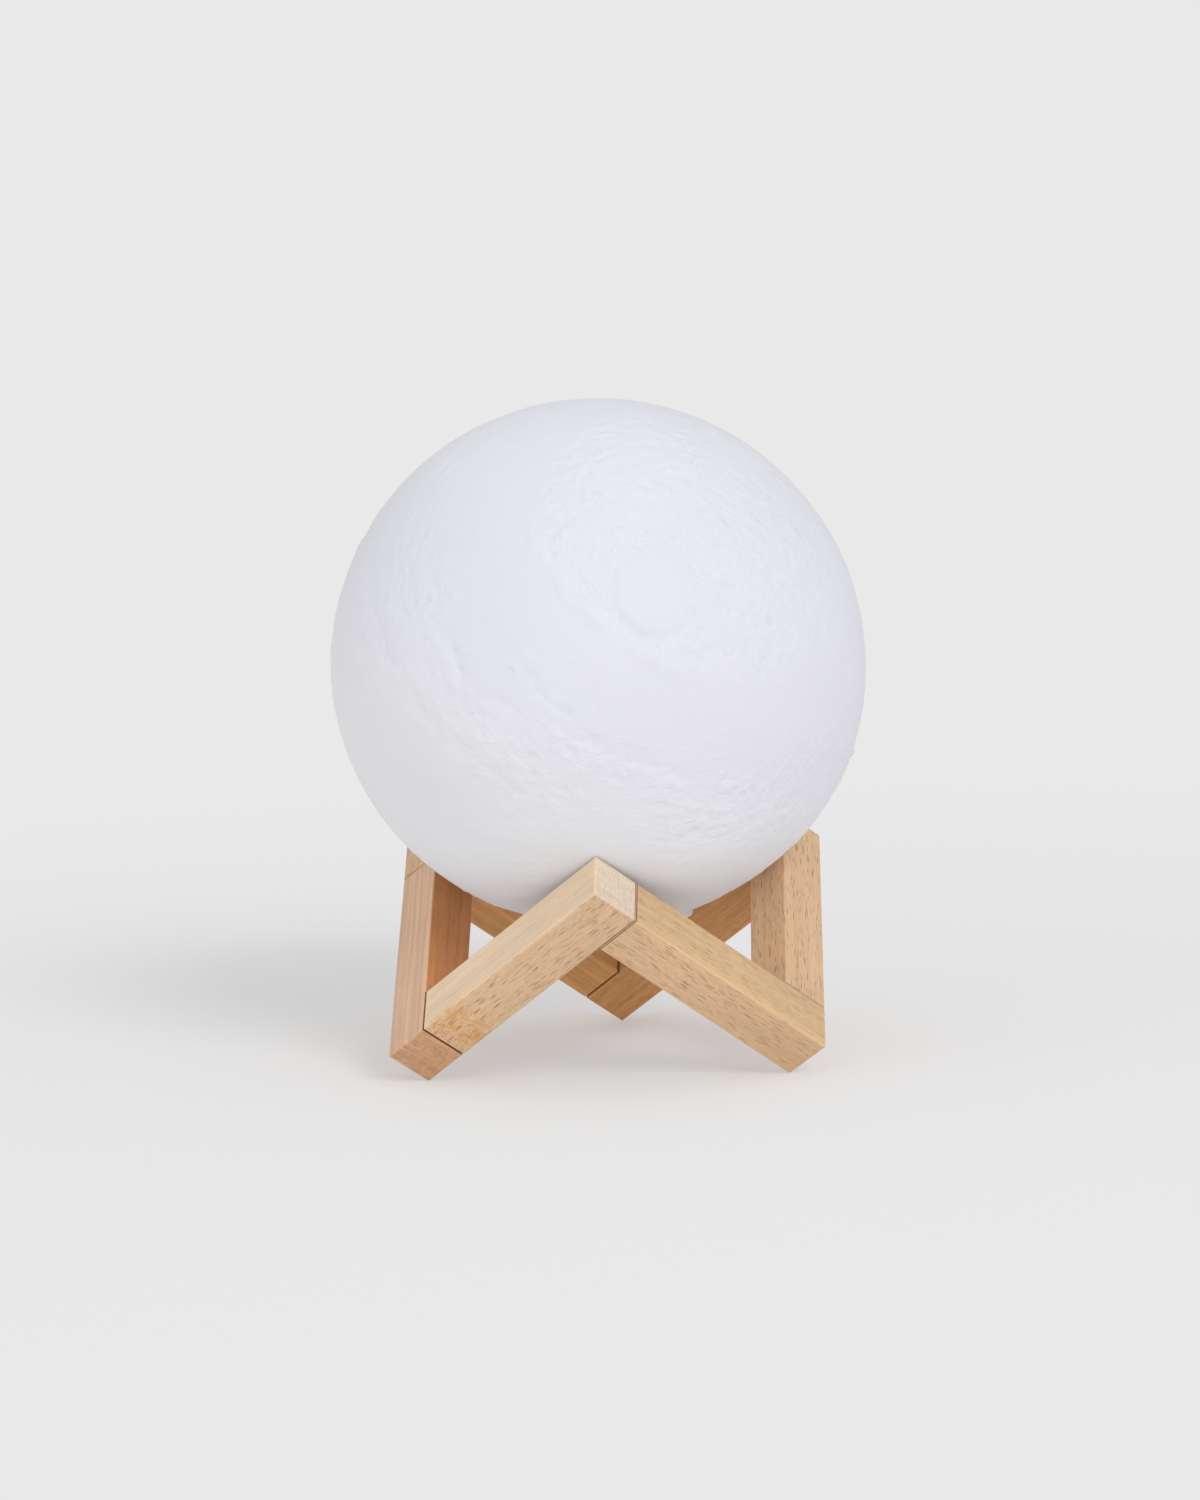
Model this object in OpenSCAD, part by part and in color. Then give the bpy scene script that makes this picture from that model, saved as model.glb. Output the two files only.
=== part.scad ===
// Moon lamp: a hollow printed moon with a rechargeable light inside, resting on a beech stand.
// The stand is a closed ring of six equal bars that follow the edges of a cube stood on one corner.
// Frame: millimetres, +Z up, floor at z = 0, origin on the upright axis, front faces -Y.

/* [Moon] */
// Diameter of the moon over its smooth ground
moon_d = 150; // [146:1:156]
// Wall of the printed moon
moon_wall = 2; // [1.6:0.1:3]
// Free gap between the moon and the stand corners that carry it
seat_gap = 0.3; // [0.2:0.1:0.6]
// Radius of the flat cut under the moon
flat_r = 25; // [24.5:0.1:27]
// Height of the collar that holds the lamp housing
collar_h = 12; // [8:1:20]
// Wall of the collar
collar_wall = 3; // [2:0.5:4]

/* [Craters] */
// Number of places for craters, spread evenly over the moon
crater_places = 64; // [30:2:70]
// Radius of the smallest crater
crater_r_min = 2.2; // [1.5:0.1:3]
// Radius of the largest crater of the even spread
crater_r_max = 8.5; // [5:0.5:9]
// Height of the crater rims above the ground
rim_h = 0.3; // [0.2:0.05:0.5]
// Radius of the rounded section of the crater rims
rim_round = 2.4; // [1.5:0.1:3]
// Depth of the crater floors below their rim circles
dish_depth = 0.7; // [0.4:0.05:0.9]
// Radius of the big ringed basin on the front
basin_r = 11.5; // [8:0.5:13]
// Depth of the smooth basin floor below the ground
basin_depth = 0.3; // [0.1:0.05:0.5]
// Step between the rings round the basin
basin_ring_step = 5.5; // [4.5:0.5:7]
// Number of rings round the basin
basin_rings = 2; // [0:1:3]
// Bearing of the basin to the right of the front
basin_turn = 17; // [0:1:20]
// Height angle of the basin above the equator
basin_rise = 20; // [14:1:26]

/* [Stand] */
// Side of the square bars
bar_size = 14.8; // [12:0.2:16]
// Length of each bar, which is also the distance between joint centres
bar_length = 71.5; // [69:0.5:78]
// Radius that eases the edges of the bars
edge_round = 0.7; // [0.4:0.1:1.5]
// Glue line between a bar end and the bar it butts on
glue_line = 0.15; // [0.05:0.05:0.3]
// Diameter of the joint dowels
dowel_d = 6; // [5:0.5:8]
// Depth of the dowel hole in the side of a bar
dowel_side_depth = 10; // [8:0.5:11]
// Depth of the dowel hole in the end of a bar
dowel_end_depth = 15; // [10:1:25]
// Radial clearance of a dowel in its hole
dowel_fit = 0.05; // [0.03:0.01:0.15]
// Glue space past each end of a dowel
dowel_end_space = 0.5; // [0.3:0.1:1]
// Number of flutes that let the glue out of a dowel hole
dowel_flutes = 8; // [4:1:12]

/* [Base] */
// Radius of the base cover
cover_r = 24; // [23:0.5:24]
// Thickness of the base cover
cover_t = 2.4; // [2.2:0.1:3.5]
// Outer radius of the touch ring
ring_r_out = 21; // [19:0.5:22]
// Inner radius of the touch ring
ring_r_in = 13.4; // [12.9:0.1:14]
// Thickness of the touch ring
ring_t = 0.8; // [0.6:0.1:1]
// How far the touch ring sits above the face the moon can stand on
ring_inset = 0.2; // [0.1:0.1:0.4]
// Depth of the recessed centre of the cover
centre_recess = 0.6; // [0.4:0.1:0.8]
// Outer radius of the lamp housing
housing_r = 18.8; // [18.6:0.1:19.2]
// Wall of the lamp housing
housing_wall = 1.6; // [1.4:0.1:1.8]
// Glue clearance between the housing and the collar
housing_fit = 0.15; // [0.1:0.05:0.3]
// Thickness of the deck that carries the light board
deck_t = 2; // [1.6:0.1:3]

/* [Power button] */
// Diameter of the button face
button_d = 6; // [5:0.2:6.6]
// Travel of the button
button_travel = 0.5; // [0.3:0.1:0.8]
// Clearance round the button and between it and its stop
button_gap = 0.2; // [0.15:0.05:0.3]

/* [Electronics] */
// Height of the upright charging socket
socket_h = 6.4; // [6.2:0.1:8]
// Width of the charging socket over its shell
socket_w = 9; // [8.4:0.1:9.4]
// Thickness of the charging socket over its shell
socket_t = 3.3; // [3:0.1:3.6]
// Wall of the charging socket shell
socket_wall = 0.3; // [0.2:0.05:0.4]
// Thickness of the control board
board_t = 1.2; // [0.8:0.2:1.6]
// Width of the battery cell
cell_w = 28; // [24:0.5:29]
// Thickness of the battery cell
cell_t = 6; // [4:0.5:8]
// Length of the battery cell
cell_l = 34; // [25:1:40]
// Thickness of the light board
light_board_t = 1.6; // [1:0.2:2]
// Number of light chips
light_chips = 6; // [3:1:6]
// Diameter of the insulated leads
lead_d = 1.1; // [0.8:0.1:1.3]

/* [Hidden] */
$fn = 64;
round_fn = 144;
tiny = 0.01;

beech = [0.83, 0.69, 0.53];
beech_end = [0.80, 0.64, 0.46];
moon_white = [0.90, 0.90, 0.95];
base_white = [0.93, 0.93, 0.92];
ring_metal = [0.78, 0.78, 0.79];
steel = [0.66, 0.66, 0.68];
board_green = [0.10, 0.36, 0.24];
chip_black = [0.12, 0.12, 0.13];
copper = [0.78, 0.56, 0.30];
cell_silver = [0.62, 0.66, 0.72];
light_yellow = [0.95, 0.88, 0.55];
lead_red = [0.75, 0.12, 0.10];
lead_black = [0.10, 0.10, 0.10];

// The stand in the frame of its cube: three edges run along x, y and z from a corner.
half_bar = bar_size / 2;
cube_tilt = acos(1 / sqrt(3));
corner_recess = sqrt(3) * (1 - 1 / sqrt(2)) * edge_round;
foot_level = (bar_length - 3 * half_bar) / sqrt(3) + corner_recess;

// The moon centre lies at (seat_s, seat_s, seat_s) in the cube frame and rests on
// the corners (bar_length + half_bar, bar_length + half_bar, half_bar) and their turns.
moon_r = moon_d / 2;
seat_r = moon_r + seat_gap;
seat_xy = bar_length + half_bar;
seat_sum = 2 * seat_xy + half_bar;
seat_square = 2 * pow(seat_xy, 2) + pow(half_bar, 2) - pow(seat_r, 2);
seat_s = (seat_sum + sqrt(pow(seat_sum, 2) - 3 * seat_square)) / 3;
moon_z = seat_s * sqrt(3) - foot_level;
seat_corner_z = seat_sum / sqrt(3) - foot_level;
seat_corner_r = (bar_length) * sqrt(2 / 3);

// Levels of the lamp base, measured up from the flat cut under the moon.
flat_drop = sqrt(pow(moon_r, 2) - pow(flat_r, 2));
base_z = moon_z - flat_drop;
face_z = centre_recess - cover_t;
socket_inset = 0.6;
board_z = face_z + socket_inset + socket_h;
board_top = board_z + board_t;
cell_lift = 2.8;
cell_z = board_top + cell_lift;
cell_strip_h = 2.6;
cell_top = cell_z + cell_l + cell_strip_h;
pad_t = 0.9;
glue_t = 0.05;
deck_z = cell_top + pad_t + 2 * glue_t;
deck_top = deck_z + deck_t;
light_board_z = deck_top + glue_t;
light_board_top = light_board_z + light_board_t;

// Places on the base, seen from above with the front towards -y.
housing_bore = housing_r - housing_wall;
boss_d = 5;
boss_sink = 0.6;
boss_circle = housing_bore - boss_d / 2 + boss_sink;
boss_turns = [90, 210, 330];
boss_over_board = 2.5;
boss_h = board_z + boss_over_board;
board_edge_gap = 0.6;
board_r = housing_bore - board_edge_gap;
board_boss_gap = 0.4;
post_d = 4.2;
post_x = 10.5;
post_y = 2;
socket_y = -6;
button_y = 5.2;
pipe_x = 7.6;
pipe_y = -3.2;
pipe_d = 2;
pipe_flange_d = 3.2;
spring_circle = 15;
spring_turn = 30;
spring_d = 2.4;
spring_wire = 0.4;
spring_turns = 5;
light_screw_circle = 11;
light_screw_turns = [60, 240];
light_hole_y = -10.5;
light_hole_d = 4;
light_board_r = 14.5;
light_circle = 6.5;
recess_land = 0.8;
slot_gap = 0.3;
spring_gap = 0.5;
socket_floor = 1;
button_proud = 0.3;

// Leads: bend size, where the battery pair comes down, and width of the loop over the light board.
lead_bend = 2.2;
battery_lead_y = 11.8;
lead_loop_w = 3.5;
lead_pair_gap = 0.2;

// Screws: thread diameter, head diameter and head height.
cover_screw = [2.2, 4, 1.1];
cover_screw_l = 8;
small_screw = [1.8, 3.4, 1.2];
board_screw_l = 4.5;
light_screw_l = 5;
pilot_fit = 0.05;
head_fit = 0.15;

// Button and switch levels.
button_face_z = face_z - button_proud;
button_lip_d = button_d + 2;
button_lip_t = 0.8;
button_lip_z = button_gap;
button_stem_d = 3;
switch_size = 6;
switch_h = 2.4;
switch_z = board_z - switch_h;
plunger_d = 2.6;
plunger_out = button_travel + 0.3;
plunger_in = 0.6;

function turn(r, a) = [r * cos(a), r * sin(a), 0];
function fraction(v) = v - floor(v);
function unit(v) = v / norm(v);
function angle_between(p, q) = acos(max(-1, min(1, unit(p) * unit(q))));

// Craters sit on an even spiral over the sphere, shaken a little; their sizes lean to the small ones.
golden_turn = 180 * (3 - sqrt(5));
size_step = 0.618;
size_start = 0.27;
size_lean = 2.2;
dish_share = 0.2;
most_places = 70;
shake_turn = 3;
shake_seed = 7;
shake = rands(-shake_turn, shake_turn, 2 * most_places, shake_seed);
function place_height(i) = 1 - 2 * (i + 0.5) / crater_places;
function place_turn(i) = i * golden_turn + shake[i];
function place_rise(i) = asin(place_height(i)) + shake[i + most_places];
function pointing(a, rise) = [cos(rise) * cos(a), cos(rise) * sin(a), sin(rise)];
function crater_r(i) = crater_r_min
    + (crater_r_max - crater_r_min) * pow(fraction(i * size_step + size_start), size_lean);
function rim_section(r) = min(rim_round, r / 2);
function arc_of(r) = asin((r + rim_section(r) / 2) / moon_r);

// Craters that show from the front: bearing to the right of the front, height angle, radius.
front_craters = [[42, 11, 3.5], [51, 28, 3], [47, 19, 2.5], [-31, 19, 3.5], [-39, 16, 3]];
function front_point(c) = pointing(c[0] - 90, c[1]);

basin_bearing = basin_turn - 90;
basin_point = pointing(basin_bearing, basin_rise);
basin_reach = arc_of(basin_r + basin_rings * basin_ring_step);
base_reach = arc_of(flat_r) + 1;
seat_points = [for (a = [30, 150, 270])
    [seat_corner_r * cos(a), seat_corner_r * sin(a), seat_corner_z - moon_z]];
seat_clear = 5;

// A place is left smooth where the basin, the base or a stand corner needs it.
function near_seat(p, reach) = min([for (s = seat_points) angle_between(p, s)]) < reach + seat_clear;
function near_front(p, reach) =
    min([for (c = front_craters) angle_between(p, front_point(c)) - arc_of(c[2])]) < reach;
function place_free(p, reach) = angle_between(p, basin_point) > reach + basin_reach + 1
    && angle_between(p, [0, 0, -1]) > reach + base_reach
    && !near_front(p, reach)
    && !near_seat(p, reach);
crater_list = [for (i = [0 : crater_places - 1])
    if (place_free(pointing(place_turn(i), place_rise(i)), arc_of(crater_r(i)))) i];

// ---- Shapes used more than once ----

module rounded_rect(w, h, r) {
    square([w - 2 * r, h], center = true);
    square([w, h - 2 * r], center = true);
    for (x = [-1, 1])
        for (y = [-1, 1])
            translate([x * (w / 2 - r), y * (h / 2 - r)])
                circle(r);
}

module stadium(w, t) {
    square([w - t, t], center = true);
    for (x = [-1, 1])
        translate([x * (w - t) / 2, 0])
            circle(d = t);
}

module ring_of(r_out, r_in, h) {
    difference() {
        cylinder(r = r_out, h = h);
        translate([0, 0, -1])
            cylinder(r = r_in, h = h + 2);
    }
}

// Screw with its head's underside at z = 0, thread pointing up, cross slot in the head.
module screw(spec, l, sunk) {
    head_d = spec[1];
    head_h = spec[2];
    slot = head_d * 0.6;
    difference() {
        union() {
            translate([0, 0, -tiny])
                cylinder(d = spec[0], h = l + tiny);
            translate([0, 0, -head_h])
                cylinder(d1 = head_d, d2 = sunk ? spec[0] : head_d, h = head_h);
        }
        for (a = [0, 90])
            rotate([0, 0, a])
                translate([-slot / 2, -head_d * 0.07, -head_h - 1])
                    cube([slot, head_d * 0.14, 1 + head_h * 0.5]);
    }
}

// Tube along a list of points; each side_list vector lies across the tube at its point.
module tube(points, side_list, r, sides) {
    last = len(points) - 1;
    function along(i) = unit(points[min(i + 1, last)] - points[max(i - 1, 0)]);
    function across(i) = unit(cross(along(i), side_list[i]));
    function flat_side(i) = cross(across(i), along(i));
    rings = [for (i = [0 : last])
        for (k = [0 : sides - 1])
            points[i] + r * (cos(360 * k / sides) * flat_side(i) + sin(360 * k / sides) * across(i))];
    walls = [for (i = [0 : last - 1])
        for (k = [0 : sides - 1])
            let (a = i * sides + k, b = i * sides + (k + 1) % sides)
            for (f = [[a, a + sides, b + sides], [a, b + sides, b]]) f];
    start = [for (k = [1 : sides - 2]) [0, k, k + 1]];
    end = [for (k = [1 : sides - 2]) [last * sides, last * sides + k + 1, last * sides + k]];
    polyhedron(points = rings, faces = concat(walls, start, end));
}

module at_base() {
    translate([0, 0, base_z])
        children();
}

// ---- Stand ----

// From the cube's frame to the lamp's: the long diagonal stands upright.
module on_cube(third) {
    rotate([0, 0, 120 * third])
        translate([0, 0, -foot_level])
            rotate([0, 0, -90])
                rotate([0, -cube_tilt, 0])
                    rotate([0, 0, -45])
                        children();
}

// A bar that climbs from a foot corner to a seat corner.
module rising_place(third) {
    on_cube(third)
        translate([bar_length, half_bar, 0])
            rotate([0, 0, 90])
                children();
}

// A bar that falls from a seat corner to the next foot corner.
module falling_place(third) {
    on_cube(third)
        translate([bar_length - half_bar, bar_length, 0])
            rotate([90, 0, 180])
                children();
}

// One bar along +x from the side it butts on; the next bar butts on its +y side at the far end.
module stand_bar() {
    bar_l = bar_length - glue_line;
    hole_d = dowel_d + 2 * dowel_fit;
    color(beech)
        difference() {
            translate([glue_line + bar_l / 2, 0, 0])
                intersection() {
                    rotate([0, 90, 0])
                        linear_extrude(height = bar_l + 2, center = true)
                            rounded_rect(bar_size, bar_size, edge_round);
                    linear_extrude(height = bar_size + 2, center = true)
                        rounded_rect(bar_l, bar_size, edge_round);
                    rotate([90, 0, 0])
                        linear_extrude(height = bar_size + 2, center = true)
                            rounded_rect(bar_l, bar_size, edge_round);
                }
            translate([-1, 0, 0])
                rotate([0, 90, 0])
                    cylinder(d = hole_d, h = dowel_end_depth + 1);
            translate([bar_length - half_bar, half_bar + 1, 0])
                rotate([90, 0, 0])
                    cylinder(d = hole_d, h = dowel_side_depth + 1);
        }
}

// A fluted dowel on the same axis as the bar that starts here.
module dowel() {
    dowel_l = dowel_side_depth + dowel_end_depth - 2 * dowel_end_space;
    bevel = 0.8;
    flute_d = 0.7;
    translate([dowel_end_space - dowel_side_depth, 0, 0])
        rotate([0, 90, 0])
            difference() {
                union() {
                    cylinder(d1 = dowel_d - 2 * bevel, d2 = dowel_d, h = bevel);
                    translate([0, 0, bevel])
                        cylinder(d = dowel_d, h = dowel_l - 2 * bevel);
                    translate([0, 0, dowel_l - bevel])
                        cylinder(d1 = dowel_d, d2 = dowel_d - 2 * bevel, h = bevel);
                }
                for (k = [0 : dowel_flutes - 1])
                    rotate([0, 0, 360 * k / dowel_flutes])
                        translate([dowel_d / 2, 0, -1])
                            cylinder(d = flute_d, h = dowel_l + 2, $fn = 16);
            }
}

module front_left_bar() {
    rising_place(0) stand_bar();
}

module front_right_bar() {
    falling_place(0) stand_bar();
}

module right_bar() {
    rising_place(1) stand_bar();
}

module back_right_bar() {
    falling_place(1) stand_bar();
}

module back_left_bar() {
    rising_place(2) stand_bar();
}

module left_bar() {
    falling_place(2) stand_bar();
}

module joint_dowels() {
    color(beech_end)
        for (third = [0 : 2]) {
            rising_place(third) dowel();
            falling_place(third) dowel();
        }
}

// ---- Moon ----

// Carries a shape made about the z axis to a point of the moon.
module on_moon(bearing, rise) {
    rotate([0, 0, bearing])
        rotate([0, 90 - rise, 0])
            children();
}

// Raised ring round a crater: its crest circle has radius r and only its top stands out.
module rim(r) {
    section_r = rim_section(r);
    lean = asin(r / (moon_r + rim_h));
    reach = moon_r + rim_h - section_r;
    translate([0, 0, reach * cos(lean)])
        rotate_extrude($fn = round_fn)
            translate([reach * sin(lean), 0])
                circle(r = section_r, $fn = 24);
}

// Round-bottomed dish that starts at the crest circle of a rim.
module dish(r) {
    depth = min(dish_depth, dish_share * r);
    dish_r = (pow(r, 2) + pow(depth, 2)) / (2 * depth);
    crest = sqrt(pow(moon_r + rim_h, 2) - pow(r, 2));
    translate([0, 0, crest - depth + dish_r])
        sphere(r = dish_r, $fn = round_fn);
}

// Smooth floor that follows the ball, a step below the ground.
module basin_floor() {
    difference() {
        translate([0, 0, moon_r / 2])
            cylinder(r = basin_r, h = moon_r, $fn = round_fn);
        sphere(r = moon_r - basin_depth, $fn = round_fn);
    }
}

module crater_rims() {
    for (i = crater_list)
        on_moon(place_turn(i), place_rise(i)) rim(crater_r(i));
    for (c = front_craters)
        on_moon(c[0] - 90, c[1]) rim(c[2]);
    on_moon(basin_bearing, basin_rise)
        for (k = [0 : basin_rings])
            rim(basin_r + k * basin_ring_step);
}

module crater_dishes() {
    for (i = crater_list)
        on_moon(place_turn(i), place_rise(i)) dish(crater_r(i));
    for (c = front_craters)
        on_moon(c[0] - 90, c[1]) dish(c[2]);
    on_moon(basin_bearing, basin_rise) basin_floor();
}

// The collar starts inside the wall below the flat cut, so that cut trims both to one plane.
module moon_shell() {
    collar_bore = housing_r + housing_fit;
    collar_start = moon_r - moon_wall / 2;
    color(moon_white)
        translate([0, 0, moon_z])
            difference() {
                union() {
                    difference() {
                        union() {
                            sphere(r = moon_r, $fn = round_fn);
                            crater_rims();
                        }
                        sphere(r = moon_r - moon_wall, $fn = round_fn);
                    }
                    translate([0, 0, -collar_start])
                        cylinder(r = collar_bore + collar_wall, h = collar_start - flat_drop + collar_h);
                }
                crater_dishes();
                translate([0, 0, -moon_r - 1])
                    cylinder(r = flat_r + 5, h = moon_r + 1 - flat_drop);
                translate([0, 0, -moon_r])
                    cylinder(r = collar_bore, h = moon_r - flat_drop + collar_h + 1);
            }
}

// ---- Housing and base ----

module lamp_housing() {
    light_boss_d = 4.6;
    light_boss_h = 4;
    rib_t = 1.2;
    rib_in = 3;
    color(base_white)
        at_base()
            difference() {
                union() {
                    ring_of(housing_r, housing_bore, deck_top);
                    translate([0, 0, deck_z])
                        cylinder(r = housing_r, h = deck_t);
                    intersection() {
                        cylinder(r = housing_bore + housing_wall / 2, h = deck_top);
                        union() {
                            for (a = boss_turns)
                                translate(turn(boss_circle, a))
                                    cylinder(d = boss_d, h = boss_h);
                            for (x = [-1, 1])
                                for (y = [-1, 1])
                                    translate([x * (cell_w / 2 - rib_in / 2 + housing_bore / 2),
                                            y * (cell_t / 2 + glue_t + rib_t / 2), (cell_z + deck_top) / 2])
                                        cube([housing_bore, rib_t, deck_top - cell_z], center = true);
                        }
                    }
                    for (a = light_screw_turns)
                        translate(turn(light_screw_circle, a) + [0, 0, deck_z - light_boss_h])
                            cylinder(d = light_boss_d, h = light_boss_h + tiny);
                }
                for (a = boss_turns)
                    translate(turn(boss_circle, a) - [0, 0, 1])
                        cylinder(d = cover_screw[0] + 2 * pilot_fit, h = boss_h);
                for (a = light_screw_turns)
                    translate(turn(light_screw_circle, a) + [0, 0, deck_z - light_boss_h + 0.6])
                        cylinder(d = small_screw[0] + 2 * pilot_fit, h = deck_t + light_boss_h);
                translate([0, light_hole_y, deck_z - 1])
                    cylinder(d = light_hole_d, h = deck_t + 2);
            }
}

module base_cover() {
    groove_depth = ring_inset + ring_t + glue_t;
    soft_edge = 0.6;
    color(base_white)
        at_base()
            difference() {
                union() {
                    translate([0, 0, -cover_t])
                        rotate_extrude()
                            union() {
                                square([cover_r - soft_edge, cover_t - glue_t]);
                                translate([0, soft_edge])
                                    square([cover_r, cover_t - glue_t - soft_edge]);
                                translate([cover_r - soft_edge, soft_edge])
                                    circle(soft_edge);
                            }
                    for (x = [-1, 1])
                        translate([x * post_x, post_y, -cover_t / 2])
                            cylinder(d = post_d, h = board_z + cover_t / 2 - glue_t);
                }
                translate([0, 0, -cover_t - 1])
                    ring_of(ring_r_out + glue_t, ring_r_in - glue_t, groove_depth + 1);
                translate([0, 0, -cover_t - 1])
                    cylinder(r = ring_r_in - recess_land, h = centre_recess + 1);
                translate([0, socket_y, -cover_t - 1])
                    linear_extrude(height = cover_t + 2)
                        stadium(socket_w + 2 * slot_gap, socket_t + 2 * slot_gap);
                translate([0, button_y, -cover_t - 1])
                    cylinder(d = button_d + 2 * button_gap, h = cover_t + 2);
                translate([pipe_x, pipe_y, -cover_t - 1])
                    cylinder(d = pipe_d + 2 * glue_t, h = cover_t + 2);
                translate(turn(spring_circle, spring_turn) - [0, 0, cover_t + 1])
                    cylinder(d = spring_d + 2 * spring_gap, h = cover_t + 2);
                for (a = boss_turns)
                    translate(turn(boss_circle, a) + [0, 0, groove_depth - cover_t]) {
                        translate([0, 0, -1])
                            cylinder(d = cover_screw[0] + 2 * head_fit, h = cover_t + 1);
                        translate([0, 0, -tiny])
                            cylinder(d1 = cover_screw[1] + 2 * head_fit, d2 = cover_screw[0] + 2 * head_fit,
                                h = cover_screw[2] + tiny);
                    }
                for (x = [-1, 1])
                    translate([x * post_x, post_y, board_z - board_screw_l])
                        cylinder(d = small_screw[0] + 2 * pilot_fit, h = board_screw_l + 1);
            }
}

module touch_ring() {
    soft_edge = 0.25;
    color(ring_metal)
        at_base()
            translate([0, 0, ring_inset - cover_t])
                rotate_extrude()
                    translate([(ring_r_out + ring_r_in) / 2, ring_t / 2])
                        rounded_rect(ring_r_out - ring_r_in, ring_t, soft_edge);
}

// Coil spring that leads from the touch ring to the control board.
module touch_spring() {
    low = ring_inset + ring_t - cover_t + spring_wire / 2 + glue_t;
    high = board_z - spring_wire / 2 - glue_t;
    steps = 76;
    function coil_turn(k) = 360 * spring_turns * k / steps;
    coil = [for (k = [0 : steps])
        turn(spring_d / 2, coil_turn(k)) + [0, 0, low + (high - low) * k / steps]];
    outward = [for (k = [0 : steps]) turn(1, coil_turn(k))];
    color(copper)
        at_base()
            translate(turn(spring_circle, spring_turn))
                tube(coil, outward, spring_wire / 2, 6);
}

module cover_screws() {
    head_z = ring_inset + ring_t + glue_t - cover_t + cover_screw[2];
    color(steel)
        at_base()
            for (a = boss_turns)
                translate(turn(boss_circle, a) + [0, 0, head_z])
                    screw(cover_screw, cover_screw_l - cover_screw[2], true);
}

// ---- Control board and what it carries ----

module control_board() {
    color(board_green)
        at_base()
            difference() {
                translate([0, 0, board_z])
                    cylinder(r = board_r, h = board_t);
                for (a = boss_turns)
                    translate(turn(boss_circle, a) + [0, 0, board_z - 1])
                        cylinder(d = boss_d + 2 * board_boss_gap, h = board_t + 2);
                for (x = [-1, 1])
                    translate([x * post_x, post_y, board_z - 1])
                        cylinder(d = small_screw[0] + 2 * head_fit, h = board_t + 2);
            }
}

module board_screws() {
    color(steel)
        at_base()
            for (x = [-1, 1])
                translate([x * post_x, post_y, board_top + glue_t])
                    rotate([180, 0, 0])
                        screw(small_screw, board_screw_l, false);
}

module charge_socket() {
    foot_t = 0.4;
    color(steel)
        at_base()
            translate([0, socket_y, board_z - glue_t])
                mirror([0, 0, 1])
                    difference() {
                        union() {
                            linear_extrude(height = socket_h)
                                stadium(socket_w, socket_t);
                            translate([0, 0, foot_t / 2])
                                cube([socket_w + 1.2, socket_t * 0.6, foot_t], center = true);
                        }
                        translate([0, 0, socket_floor])
                            linear_extrude(height = socket_h)
                                stadium(socket_w - 2 * socket_wall, socket_t - 2 * socket_wall);
                    }
}

// Insulated tongue inside the socket with a row of contacts on each face.
module socket_tongue() {
    tongue_w = 6.7;
    tongue_t = 0.7;
    contacts = 6;
    contact_pitch = 1;
    contact_w = 0.3;
    contact_t = 0.05;
    tongue_inset = 1;
    tongue_l = socket_h - socket_floor - tongue_inset;
    color(chip_black)
        at_base()
            translate([0, socket_y, board_z - glue_t - socket_floor])
                mirror([0, 0, 1]) {
                    translate([-tongue_w / 2, -tongue_t / 2, glue_t])
                        cube([tongue_w, tongue_t, tongue_l]);
                    for (k = [0 : contacts - 1])
                        translate([(k - (contacts - 1) / 2) * contact_pitch - contact_w / 2,
                                -tongue_t / 2 - contact_t, 1])
                            cube([contact_w, tongue_t + 2 * contact_t, tongue_l - 1.6]);
                }
}

module button_switch() {
    corner = 0.6;
    color(chip_black)
        at_base()
            translate([0, button_y, switch_z])
                difference() {
                    linear_extrude(height = switch_h - glue_t)
                        rounded_rect(switch_size, switch_size, corner);
                    translate([0, 0, -1])
                        cylinder(d = plunger_d + 2 * button_gap,
                            h = 1 + plunger_in + button_travel + button_gap);
                }
}

// A small box soldered on top of the control board.
module on_board(x, y, w, d, h) {
    at_base()
        translate([x - w / 2, y - d / 2, board_top + glue_t])
            cube([w, d, h]);
}

module control_chips() {
    color(chip_black) {
        on_board(-6.5, 8, 5, 4, 1.5);
        on_board(5.5, 8.5, 5, 4, 1.5);
        on_board(0, 0.5, 4, 4, 0.9);
    }
}

module board_capacitors() {
    color(copper) {
        for (k = [0 : 3])
            on_board(-3 + 2 * k, -3.6, 0.8, 1.6, 0.8);
        for (x = [-1, 1])
            on_board(x * 6, -2.2, 1.6, 3.2, 1.6);
    }
}

module board_resistors() {
    color(chip_black)
        for (k = [0 : 5])
            on_board(-3.75 + 1.5 * k, 4.6, 0.6, 1.2, 0.4);
}

module power_inductor() {
    size = 4.4;
    color(chip_black)
        at_base()
            translate([-7.6, -7, board_top + glue_t])
                linear_extrude(height = 2)
                    rounded_rect(size, size, 0.8);
}

module indicator_led() {
    led_w = 1.6;
    led_d = 0.8;
    led_h = 0.7;
    color(light_yellow)
        at_base()
            translate([pipe_x - led_w / 2, pipe_y - led_d / 2, board_z - glue_t - led_h])
                cube([led_w, led_d, led_h]);
}

// Clear rod that carries the charging light from the board to the cover's face.
module light_pipe() {
    top = board_z - 1.2;
    color([0.85, 0.90, 0.92])
        at_base()
            translate([pipe_x, pipe_y, 0]) {
                translate([0, 0, face_z])
                    cylinder(d = pipe_d, h = top - face_z);
                translate([0, 0, glue_t])
                    cylinder(d = pipe_flange_d, h = 0.8);
            }
}

// ---- Battery ----

module battery_cell() {
    color(cell_silver)
        at_base()
            translate([0, 0, cell_z])
                linear_extrude(height = cell_l)
                    rounded_rect(cell_w, cell_t, cell_t * 0.28);
}

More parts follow.
